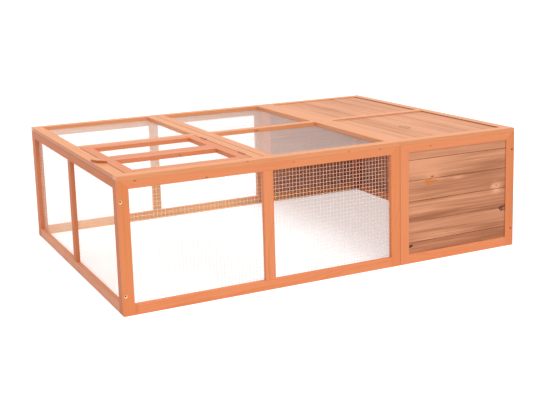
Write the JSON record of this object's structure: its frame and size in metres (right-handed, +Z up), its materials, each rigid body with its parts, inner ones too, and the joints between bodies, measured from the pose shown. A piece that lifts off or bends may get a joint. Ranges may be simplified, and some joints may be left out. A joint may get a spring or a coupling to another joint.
{
  "type": "outdoor rabbit run",
  "caption": "Low bottomless timber and wire mesh rabbit run with a boarded shelter end, a mesh roof and a hinged mesh lid held by a turn button.",
  "frame": {"origin": "on the ground under the middle of the run", "axes": "+X along the long front wall from the mesh end to the shelter, +Y from the front wall to the back wall, +Z up"},
  "size_m": [1.5, 1.1, 0.4524],
  "materials": {
    "stained_frame": "satin orange-brown wood stain",
    "stained_board": "matt orange-brown wood stain over rougher boards",
    "wire": "galvanised welded wire",
    "hinge_steel": "zinc plated",
    "screw_steel": "zinc plated",
    "dark_screw_steel": "black phosphated"
  },
  "bodies": {
    "frame": {"front_side_stiles": "stained_frame", "front_mid_stile": "stained_frame", "front_top_rail": "stained_frame", "front_bottom_rail": "stained_frame", "front_net": "wire", "back_side_stiles": "stained_frame", "back_mid_stile": "stained_frame", "back_top_rail": "stained_frame", "back_bottom_rail": "stained_frame", "back_net": "wire", "left_side_stiles": "stained_frame", "left_mid_stile": "stained_frame", "left_top_rail": "stained_frame", "left_bottom_rail": "stained_frame", "left_net": "wire", "right_side_stiles": "stained_frame", "right_mid_stile": "stained_frame", "right_top_rail": "stained_frame", "right_bottom_rail": "stained_frame", "right_boards": "stained_board", "shelter_front_stiles": "stained_frame", "shelter_front_top_rail": "stained_frame", "shelter_front_bottom_rail": "stained_frame", "shelter_front_boards": "stained_board", "shelter_back_stiles": "stained_frame", "shelter_back_top_rail": "stained_frame", "shelter_back_bottom_rail": "stained_frame", "shelter_back_boards": "stained_board", "roof_front_rail": "stained_frame", "roof_back_rail": "stained_frame", "roof_left_rail": "stained_frame", "roof_transverse_rails": "stained_frame", "roof_right_rail": "stained_frame", "roof_cross_rail": "stained_frame", "roof_mid_rail": "stained_frame", "roof_left_net": "wire", "roof_right_net": "wire", "shelter_roof_front_rail": "stained_frame", "shelter_roof_back_rail": "stained_frame", "shelter_roof_side_rails": "stained_frame", "shelter_roof_mid_rail": "stained_frame", "shelter_roof_boards": "stained_board", "hatch_stops": "stained_frame", "hinge_fixed_leaves": "hinge_steel", "hinge_pins": "hinge_steel", "turn_button_washer": "screw_steel", "turn_button_screw": "screw_steel", "corner_screws": "dark_screw_steel"},
    "hatch": {"hatch_stiles": "stained_frame", "hatch_end_rails": "stained_frame", "hatch_mid_rails": "stained_frame", "hatch_net": "wire", "hinge_moving_leaves": "hinge_steel"},
    "turn_button": {"turn_button": "stained_frame"}
  },
  "joints": [
    {"name": "hatch_hinge", "type": "hinge", "parent": "frame", "child": "hatch", "pos_m": [-0.28175, -0.2615, 0.4416], "axis": [0, 1, 0], "range_deg": [0, 180]},
    {"name": "turn_button_pivot", "type": "hinge", "parent": "frame", "child": "turn_button", "pos_m": [-0.7302, -0.307, 0.4454], "axis": [0, 0, 1], "continuous": true}
  ]
}
